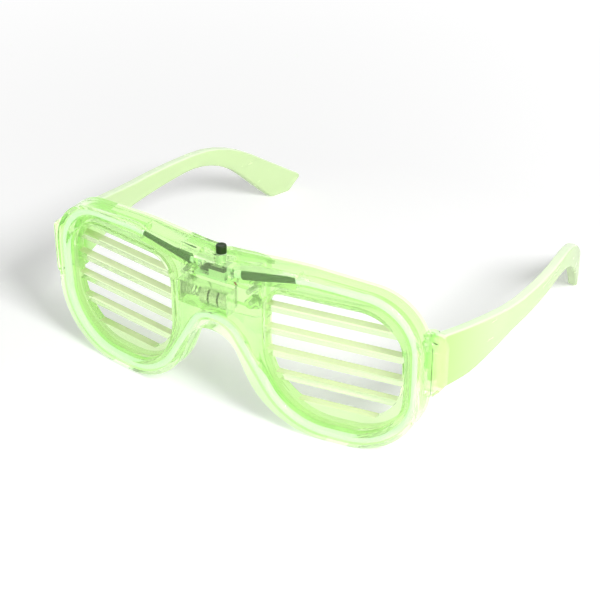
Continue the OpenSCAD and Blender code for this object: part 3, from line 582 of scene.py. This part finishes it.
def solder(name, x, y, foot, height, body_r):
    """A fillet of solder that climbs a leg."""
    up = [(0.0, body_r * 1.5), (height * 0.12, body_r * 1.35), (height * 0.35, body_r * 0.95),
          (height * 0.7, body_r * 0.7), (height, body_r * 0.42), (height * 1.06, 0.0)]
    mesh = lathe(name, Vector((x, y, foot)), Vector((x, y, foot + height)), up, 20)
    return as_piece(mesh, name, "front", "contact_metal", tinned)


for s, side in ((-1, "right"), (1, "left")):
    for k, y in enumerate(led_y):
        solder(f"solder_led_{side}_{k + 1}", s * led_x, y, board_top, 0.0009, 0.00055)

# Driver chip.
# A black moulded body with slanted sides and six tinned gull-wing legs.
chip_black = finish("chip_black", (0.018, 0.050, 0.012), (0.034, 0.080, 0.024), rough=0.5, spread=0.1,
                    bump=0.5, grain=1800.0, flow=400.0, Specular_IOR_Level=0.3)
chip_half = (chip_high.y - chip_low.y) / 2
body_foot = chip_low.z + 0.0002
body_top = chip_high.z
body_levels = [(body_foot, 0.88), (body_foot + 0.0004, 1.0), (body_foot + 0.0006, 1.0), (body_top, 0.86)]
leg_t = 0.00015


def stack(work, centre, half_x, half_y, levels):
    """Joins rectangles of several sizes, one over the other."""
    rings = [[work.verts.new((centre.x + sx * half_x * share, centre.y + sy * half_y * share, z))
              for sx, sy in ((-1, -1), (1, -1), (1, 1), (-1, 1))] for z, share in levels]
    for one, two in zip(rings, rings[1:]):
        for k in range(4):
            work.faces.new((one[k], one[(k + 1) % 4], two[(k + 1) % 4], two[k]))
    work.faces.new(rings[0][::-1])
    work.faces.new(rings[-1])


def bent_leg(work, points, y0, y1, thick):
    """A flat leg bent through points (x, z), between two depths."""
    rings = []
    for k, (x, z) in enumerate(points):
        back = points[max(k - 1, 0)]
        ahead = points[min(k + 1, len(points) - 1)]
        run = Vector((ahead[0] - back[0], ahead[1] - back[1])).normalized()
        side = Vector((-run.y, run.x)) * thick / 2
        rings.append([work.verts.new((x + s * side.x, y, z + s * side.y)) for s, y in
                      ((-1, y0), (1, y0), (1, y1), (-1, y1))])
    for one, two in zip(rings, rings[1:]):
        for k in range(4):
            work.faces.new((one[k], one[(k + 1) % 4], two[(k + 1) % 4], two[k]))
    work.faces.new(rings[0][::-1])
    work.faces.new(rings[-1])


work = bmesh.new()
stack(work, chip_mid, chip_half, chip_half, body_levels)
bmesh.ops.bevel(work, geom=list(work.edges), offset=0.00006, offset_type="OFFSET", segments=2,
                profile=0.5, affect="EDGES", clamp_overlap=True)
chip = as_piece(settle(work, "chip_body"), "chip_body", "front", "chip_black", chip_black)
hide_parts("driver_chip")
work = bmesh.new()
chip_leg_half = 0.0002
for s in (-1, 1):
    for k in (-1, 0, 1):
        y = chip_mid.y + k * chip_half * 2 / 3
        inner = chip_mid.x + s * chip_half * 0.94
        outer = chip_high.x if s > 0 else chip_low.x
        path = [(inner, body_foot + 0.0005), (inner + s * 0.0001, body_foot + 0.0005),
                (inner + s * 0.0002, body_foot + 0.0003), (inner + s * 0.0003, chip_low.z + 0.00008),
                (outer, chip_low.z + 0.00008)]
        bent_leg(work, path, y - chip_leg_half, y + chip_leg_half, leg_t)
as_piece(settle(work, "chip_legs"), "chip_legs", "front", "contact_metal", tinned)
dot = chip_mid + Vector((-chip_half * 0.5, -chip_half * 0.5, 0))
dot.z = body_top - 0.00001
mark = lathe("chip_mark", dot, dot + Vector((0, 0, 0.001)),
             [(0.0, 0.00024), (0.00002, 0.00024), (0.00002, 0.0002), (0.0, 0.00016), (0.0, 0.0)], 20)
as_piece(mark, "chip_mark", "front", "chip_black", tinned)

# Resistors.
# Two chip resistors, black glazed on top, with tinned ends soldered to the board.
res_low, res_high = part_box("resistors")
res_w = 0.0011
res_end = 0.0004
tin_t = 0.00002
for s, name in ((-1, "resistor_right"), (1, "resistor_left")):
    x = (res_low.x + res_high.x) / 2 + s * ((res_high.x - res_low.x) / 2 - res_w / 2)
    work = bmesh.new()
    block(work, (x - res_w / 2, res_low.y + res_end, res_low.z),
          (x + res_w / 2, res_high.y - res_end, res_high.z))
    for y0, y1 in ((res_low.y, res_low.y + res_end), (res_high.y - res_end, res_high.y)):
        block(work, (x - res_w / 2 - tin_t, y0, res_low.z),
              (x + res_w / 2 + tin_t, y1, res_high.z + tin_t))
    for face in work.faces:
        centre = face.calc_center_median()
        at_end = min(centre.y - res_low.y, res_high.y - centre.y) <= res_end + 1e-6
        face.material_index = 1 if at_end else 0
    bmesh.ops.bevel(work, geom=list(work.edges), offset=0.00005, offset_type="OFFSET", segments=2,
                    profile=0.5, affect="EDGES", clamp_overlap=True)
    resistor = as_piece(settle(work, name), name, "front", "resistor_black", chip_black, tinned)
    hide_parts("resistors")

# Switch and push button.
# A tact switch: black housing on a milky base, under a sprung steel plate held by four rivets,
# with four legs soldered to the board. The button is a dark plunger, dished on its top.
switch_low, switch_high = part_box("switch_body")
switch_mid = (switch_low + switch_high) / 2
button_low, button_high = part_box("push_button")
stem_r = 0.00175
base_h = 0.0026
base_foot = switch_low.z + base_h
housing_half = 0.0029
# The milky nylon is tinted green and glows: painted light from the LEDs.
nylon = finish("nylon", (0.66, 0.82, 0.58), (0.76, 0.90, 0.68), rough=0.35, spread=0.08, bump=0.3,
               Transmission_Weight=0.3, Emission_Color=(0.6, 1.0, 0.6, 1.0), Emission_Strength=0.08)
steel = finish("steel", (0.58, 0.60, 0.55), (0.76, 0.78, 0.72), rough=0.3, spread=0.1, bump=0.2,
               grain=1500.0, flow=250.0, scuff=900.0, Metallic=0.8)
work = welded("switch_body")
bmesh.ops.bisect_plane(work, geom=list(work.verts) + list(work.edges) + list(work.faces), dist=1e-7,
                       plane_co=(0, 0, base_foot), plane_no=(0, 0, 1))


def housing_edge(edge):
    """The upright outer edges of the housing."""
    one, two = edge.verts
    return (abs(one.co.z - two.co.z) > 0.001
            and max(abs(one.co.x - switch_mid.x), abs(one.co.y - switch_mid.y)) > housing_half)


round_off(work, 0.0002, housing_edge, 2)
for face in work.faces:
    face.material_index = 1 if face.calc_center_median().z < base_foot else 0
housing = as_piece(settle(work, "switch_housing"), "switch_housing", "front", "chip_black",
                   chip_black, nylon)
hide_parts("switch_body")

plate_half = 0.0027
plate_t = 0.0002
rivet_half = 0.0021
ring_r = stem_r + 0.00035
work = bmesh.new()
rings = []
for z in (switch_high.z, switch_high.z + plate_t):
    hole = []
    rim = []
    for k in range(32):
        turn = 2 * math.pi * k / 32
        c, s = math.cos(turn), math.sin(turn)
        square = plate_half / max(abs(c), abs(s))
        rim_r = min(square, plate_half * 1.3)
        hole.append(work.verts.new((switch_mid.x + ring_r * c, switch_mid.y + ring_r * s, z)))
        rim.append(work.verts.new((switch_mid.x + rim_r * c, switch_mid.y + rim_r * s, z)))
    rings.append((hole, rim))
(hole0, rim0), (hole1, rim1) = rings
for k in range(32):
    n = (k + 1) % 32
    work.faces.new((hole1[k], rim1[k], rim1[n], hole1[n]))
    work.faces.new((hole0[k], hole0[n], rim0[n], rim0[k]))
    work.faces.new((rim0[k], rim0[n], rim1[n], rim1[k]))
    work.faces.new((hole0[n], hole0[k], hole1[k], hole1[n]))
as_piece(settle(work, "switch_plate"), "switch_plate", "front", "contact_metal", steel)
for sx in (-1, 1):
    for sy in (-1, 1):
        foot = Vector((switch_mid.x + sx * rivet_half, switch_mid.y + sy * rivet_half,
                       switch_high.z + plate_t * 0.9))
        rivet = lathe("rivet", foot, foot + Vector((0, 0, 0.001)),
                      [(0.0, 0.00042), (0.00008, 0.00040), (0.00016, 0.00028), (0.0002, 0.0)], 20)
        as_piece(rivet, "switch_rivet", "front", "chip_black", chip_black)
switch_leg_step = 0.0022
switch_leg_half = 0.00035
switch_leg_path = [(-0.0001, 0.0009), (0.00012, 0.0009), (0.0002, 0.0006), (0.0002, 0.0001)]
work = bmesh.new()
for s in (-1, 1):
    for k in (-1, 1):
        y = switch_mid.y + k * switch_leg_step
        edge_x = switch_mid.x + s * (switch_high.x - switch_low.x) / 2
        bent_leg(work, [(edge_x + s * out, switch_low.z + up) for out, up in switch_leg_path],
                 y - switch_leg_half, y + switch_leg_half, leg_t)
as_piece(settle(work, "switch_legs"), "switch_legs", "front", "contact_metal", tinned)

button_black = finish("button_black", (0.012, 0.036, 0.006), (0.022, 0.050, 0.010), rough=0.34,
                      spread=0.08, bump=0.3, grain=1500.0, flow=250.0, Specular_IOR_Level=0.25)
button_foot = Vector((switch_mid.x, switch_mid.y, button_low.z))
rise = button_high.z - button_low.z
collar_r = stem_r + 0.0005
collar_h = 0.001
cap_h = 0.0029
groove = 0.00012
top_edge = 0.0004
profile = [(0.0, 0.0), (0.0, collar_r - 0.00005), (0.00006, collar_r), (collar_h - 0.00006, collar_r),
           (collar_h, collar_r - 0.00005), (collar_h, stem_r + 0.00004), (collar_h + 0.00008, stem_r),
           (rise - cap_h - 0.00005, stem_r), (rise - cap_h - 0.00001, stem_r - groove),
           (rise - cap_h + 0.00003, stem_r - groove), (rise - cap_h + 0.00007, stem_r)]
profile += [(rise - 0.0005 + top_edge * math.sin(math.radians(a)),
             stem_r - top_edge + top_edge * math.cos(math.radians(a))) for a in range(0, 91, 15)]
profile += [(rise - 0.00012, stem_r - 0.0006), (rise - 0.00019, stem_r - 0.0010), (rise - 0.00022, 0.0)]
button_mesh = lathe("plunger", button_foot, button_foot + Vector((0, 0, rise)), profile, 48)
cap_foot = button_high.z - cap_h
for face in button_mesh.polygons:
    face.material_index = 1 if face.center.z < cap_foot else 0
button = as_piece(button_mesh, "plunger", "button", "button_black", button_black, nylon)
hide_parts("push_button")

# Button cells.
# Nickel plated cans, each with a dark gasket and a smaller raised cap towards the spring.
nickel = finish("nickel", (0.62, 0.63, 0.58), (0.80, 0.80, 0.74), rough=0.26, spread=0.1, bump=0.2,
                grain=1400.0, flow=220.0, scuff=900.0, Metallic=0.9)
gasket_dark = finish("gasket_dark", (0.10, 0.07, 0.04), (0.16, 0.11, 0.06), rough=0.5, spread=0.1, bump=0.3)
crimp_r = 0.00045
drawn_r = 0.0003
for name in ("cell_right", "cell_middle", "cell_left"):
    cell_low, cell_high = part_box(name)
    thick = cell_high.x - cell_low.x
    radius = (cell_high.z - cell_low.z) / 2
    start = Vector((cell_low.x, (cell_low.y + cell_high.y) / 2, (cell_low.z + cell_high.z) / 2))
    end = start + Vector((thick, 0, 0))
    cap_r = radius * 0.76
    cap = [(0.00003, 0.0), (0.00003, cap_r * 0.55), (0.00009, cap_r * 0.62), (0.0, cap_r * 0.68),
           (0.0, cap_r - 0.0003), (0.00008, cap_r - 0.0001), (0.0002, cap_r), (thick * 0.22, cap_r)]
    ring = [(thick * 0.12, cap_r - 0.0001), (thick * 0.12, cap_r + 0.0003), (thick * 0.22, cap_r + 0.00034)]
    can = [(thick * 0.16, cap_r + 0.0003), (thick * 0.155, cap_r + 0.0005)]
    can += [(thick * 0.155 + crimp_r * (1 - math.cos(math.radians(a))),
             radius - crimp_r + crimp_r * math.sin(math.radians(a))) for a in range(0, 91, 15)]
    can += [(thick - drawn_r + drawn_r * math.sin(math.radians(a)),
             radius - drawn_r + drawn_r * math.cos(math.radians(a))) for a in range(0, 91, 15)]
    can += [(thick, radius * 0.72), (thick - 0.00008, radius * 0.68), (thick - 0.00008, 0.0)]
    for kind, form, paint in (("_cap", cap, nickel), ("_gasket", ring, gasket_dark), ("_can", can, nickel)):
        part = as_piece(lathe(name + kind, start, end, form), name + kind, "front", "cell_steel", paint)
        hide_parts(name)


# Contact spring, plates and wires.
# A cone of spring wire presses the row of cells on the plate at its other end. A thin wire
# runs from the tag of each plate up to the board, stripped and soldered at both ends.
def swept(name, points, radius, sides=12, seams=32):
    """A round wire along a line of points, closed at both ends."""
    work = bmesh.new()
    rings = []
    across = None
    for k, point in enumerate(points):
        run = (points[min(k + 1, len(points) - 1)] - points[max(k - 1, 0)]).normalized()
        across = run.orthogonal() if across is None else across - run * across.dot(run)
        across.normalize()
        other = run.cross(across)
        rings.append([work.verts.new(point + (across * math.cos(2 * math.pi * n / sides)
                                              + other * math.sin(2 * math.pi * n / sides)) * radius)
                      for n in range(sides)])
    for one, two in zip(rings, rings[1:]):
        for n in range(sides):
            work.faces.new((one[n], one[(n + 1) % sides], two[(n + 1) % sides], two[n]))
    work.faces.new(rings[0][::-1])
    work.faces.new(rings[-1])
    return settle(work, name, seams)


spring_low, spring_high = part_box("contact_spring")
cell_low, cell_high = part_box("cell_right")
cell_axis = (cell_low + cell_high) / 2
spring_turns = 5
spring_wire = 0.00025
wide_turn = 0.0029
small_turn = 0.0017
spring_run = spring_high.x - spring_low.x - 2 * spring_wire
steps = 28 * spring_turns
line = []
for k in range(steps + 1):
    share = k / steps
    turn = 2 * math.pi * spring_turns * share
    flat = share * share * (3 - 2 * share)
    reach = wide_turn + (small_turn - wide_turn) * share
    line.append(Vector((spring_low.x + spring_wire + spring_run * (0.6 * flat + 0.4 * share),
                        cell_axis.y + reach * math.cos(turn), cell_axis.z + reach * math.sin(turn))))
spring = as_piece(swept("coned_spring", line, spring_wire, 10, 60), "coned_spring", "front",
                  "contact_metal", steel)
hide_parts("contact_spring")
for node in ("spring_plate", "contact_plate"):
    work = welded(node)
    round_off(work, 0.00008, lambda edge: True, 2)
    plate = as_piece(settle(work, "sheet_" + node), "sheet_" + node, "front", "contact_metal", steel)
    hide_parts(node)

black_cover = finish("wire_black", (0.012, 0.014, 0.012), (0.03, 0.032, 0.03), rough=0.4, spread=0.1,
                     bump=0.2)
red_cover = finish("wire_red", (0.42, 0.020, 0.012), (0.58, 0.035, 0.02), rough=0.4, spread=0.1, bump=0.2)
for node, paint, from_low in (("wire_black", black_cover, True), ("wire_red", red_cover, False)):
    wire_low, wire_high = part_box(node)
    wire_r = (wire_high.y - wire_low.y) / 2
    start_x = wire_low.x if from_low else wire_high.x
    end_x = wire_high.x - wire_r if from_low else wire_low.x + wire_r
    start_z = wire_low.z + wire_r
    line = []
    for k in range(25):
        bend = math.pi / 2 * k / 24
        line.append(Vector((start_x + (end_x - start_x) * math.sin(bend), (wire_low.y + wire_high.y) / 2,
                            start_z + (wire_high.z - start_z) * (1 - math.cos(bend)))))
    wire = as_piece(swept("insulated_" + node, line[2:-2], wire_r * 0.97, 14, 60), "insulated_" + node,
                    "front", node, paint)
    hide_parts(node)
    as_piece(swept("strand_" + node, line, wire_r * 0.5, 10, 60), "strand_" + node, "front",
             "contact_metal", tinned)
    lump = lathe("solder_" + node, line[0], line[2],
                 [(0.0, 0.0), (0.00002, wire_r * 0.7), (0.0002, wire_r * 1.0), (0.0004, wire_r * 0.8),
                  (0.0007, wire_r * 0.45)], 20)
    as_piece(lump, "solder_" + node, "front", "contact_metal", tinned)

# Screws.
# Small zinc plated cross-slot screws: two through the cover into the shell, one in the door.
# Their threads cut their own way into the plastic posts.
zinc = finish("zinc", (0.55, 0.56, 0.56), (0.74, 0.75, 0.75), rough=0.22, spread=0.08, bump=0.2,
              grain=1500.0, flow=260.0, scuff=900.0, Metallic=1.0)
head_r = 0.0015
head_h = 0.0009
shank_r = 0.00078
thread_r = 0.00011
thread_start = 0.0003
pitch = 0.0007
for node, places in (("door_screw", 1), ("cover_screws", 2)):
    screw_low, screw_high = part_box(node)
    work = welded(node)
    round_off(work, 0.00016, lambda edge: all(v.co.y > screw_high.y - 0.0001 for v in edge.verts), 2)
    screws = as_piece(settle(work, node + "_turned"), node + "_turned", "front", "screw_steel", zinc)
    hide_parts(node)
    middles = [(screw_low.x + screw_high.x) / 2]
    if places == 2:
        middles = [screw_low.x + head_r, screw_high.x - head_r]
    for index, x in enumerate(middles):
        z = (screw_low.z + screw_high.z) / 2
        run = screw_high.y - head_h - screw_low.y - thread_start
        turns = run / pitch
        count = int(16 * turns)
        line = []
        for k in range(count + 1):
            turn = 2 * math.pi * turns * k / count
            line.append(Vector((x + shank_r * math.cos(turn), screw_low.y + thread_start + run * k / count,
                                z + shank_r * math.sin(turn))))
        thread = swept(f"thread_{node}_{index + 1}", line, thread_r, 5, 60)
        as_piece(thread, f"thread_{node}_{index + 1}", "front", "screw_steel", zinc)

# Temples and hinge pins.
# Milky green mouldings, paler than the front; their greener roots are painted light that leaks in.
# They bow outwards and bend down to a flat tip. Each turns on a headless pin in the cover's ears.
hinge_y = low.y + 0.021
fade_run = 0.024
milky_green = finish("milky_green", (0.67, 0.84, 0.47), (0.72, 0.87, 0.53), rough=0.26, spread=0.02,
                     bump=0.05, grain=500.0, Transmission_Weight=0.3, IOR=1.25, Emission_Strength=0.05)
# Painted light: a faint painted glow all over, roots painted greener with a stronger painted glow,
# most of all beside the front, and the upper faces painted palest as a painted highlight.
tree = milky_green.node_tree
shader = tree.nodes["Principled BSDF"]
plain = shader.inputs["Base Color"].links[0].from_socket
along = tree.nodes.new("ShaderNodeSeparateXYZ")
tree.links.new(tree.nodes.new("ShaderNodeTexCoord").outputs["Object"], along.inputs[0])
fade = ranged(tree, along.outputs["Y"], hinge_y, hinge_y + fade_run, 1.0, 0.0)
leak = ranged(tree, along.outputs["Y"], hinge_y - 0.0021, hinge_y - 0.0006, 1.0, 0.0)
upwards = tree.nodes.new("ShaderNodeSeparateXYZ")
tree.links.new(tree.nodes.new("ShaderNodeTexCoord").outputs["Normal"], upwards.inputs[0])
lit_top = ranged(tree, upwards.outputs["Z"], 0.3, 0.8, 0.0, 1.0)
body = blended(tree, fade, plain, (0.50, 0.83, 0.29))
tree.links.new(blended(tree, lit_top, body, (0.86, 0.96, 0.74)), shader.inputs["Base Color"])
glow = blended(tree, fade, (0.85, 1.0, 0.62), (2.0, 3.4, 1.0))
glow = blended(tree, lit_top, glow, (3.0, 3.4, 2.6))
tree.links.new(blended(tree, leak, glow, (3.6, 7.0, 2.6)), shader.inputs["Emission Color"])


root_end = low.y + 0.0240
ears_low = 0.0259
ears_high = 0.0439


def temple_edge(edge):
    """The long edges of a temple, and at its root only those above and below the ears."""
    return all(v.co.y > root_end or v.co.z > ears_high or v.co.z < ears_low for v in edge.verts)


bow_x = 0.140233
bow_y = low.y + 0.0714207
side_lean = 0.97


def on_bow(face, centre):
    """Whether a face lies on one of the bowed sides."""
    outwards = face.calc_center_median() - centre
    outwards.z = 0
    return abs(face.normal.dot(outwards.normalized())) > side_lean


def bowed_normals(mesh, centre):
    """Corner normals that follow the bow of the two sides and the rounding of the edges."""
    hard = {v for edge in mesh.edges if edge.use_edge_sharp for v in edge.vertices}
    sums = [Vector() for vert in mesh.vertices]
    own = []
    for face in mesh.polygons:
        for v in face.vertices:
            outwards = mesh.vertices[v].co - centre
            outwards.z = 0
            outwards.normalize()
            lean = face.normal.dot(outwards)
            on_side = abs(lean) > side_lean
            normal = outwards * math.copysign(1, lean) if on_side else face.normal
            own.append((v, normal, on_side))
            sums[v] += normal * face.area
    corners = []
    for v, normal, on_side in own:
        if v not in hard:
            corners.append(sums[v].normalized())
        else:
            corners.append(normal if on_side else Vector())
    mesh.normals_split_custom_set(corners)


blade_start = low.y + 0.026
cut_start = low.y + 0.0265
cut_step = 0.0015
cuts = 84
for side, centre_x in (("left", -bow_x), ("right", bow_x)):
    work = welded("temple_" + side, 0.05)
    centre = Vector((centre_x, bow_y, 0))
    across = [e for e in work.edges if len(e.link_faces) == 2 and min(v.co.y for v in e.verts) > blade_start
              and all(on_bow(face, centre) for face in e.link_faces)]
    bmesh.ops.dissolve_edges(work, edges=across, use_verts=False)
    round_off(work, 0.0008, temple_edge)
    # Even cuts along the blade let its bowed sides shade smoothly.
    for k in range(cuts):
        bmesh.ops.bisect_plane(work, geom=list(work.verts) + list(work.edges) + list(work.faces), dist=1e-6,
                               plane_co=(0, cut_start + cut_step * k, 0), plane_no=(0, 1, 0))
    # The rounded edges stay inside the box of the solids.
    for vert in work.verts:
        vert.co.z = max(vert.co.z, low.z)
        vert.co.y = min(vert.co.y, high.y)
        vert.co.x = min(max(vert.co.x, low.x), high.x)
    blade = settle(work, "milky_temple_" + side, 65)
    bowed_normals(blade, centre)
    temple = as_piece(blade, "milky_temple_" + side, side + "_temple", "milky_green", milky_green)
    temple.modifiers.clear()
    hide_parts("temple_" + side)
    node = "hinge_screw_" + side
    pin_low, pin_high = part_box(node)
    work = welded(node)
    round_off(work, 0.00012, lambda edge: all(v.co.z < pin_low.z + 0.0001 or v.co.z > pin_high.z - 0.0001
                                              for v in edge.verts), 2)
    pin = as_piece(settle(work, "pin_" + side), "pin_" + side, "front", "milky_green", milky_green)
    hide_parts(node)
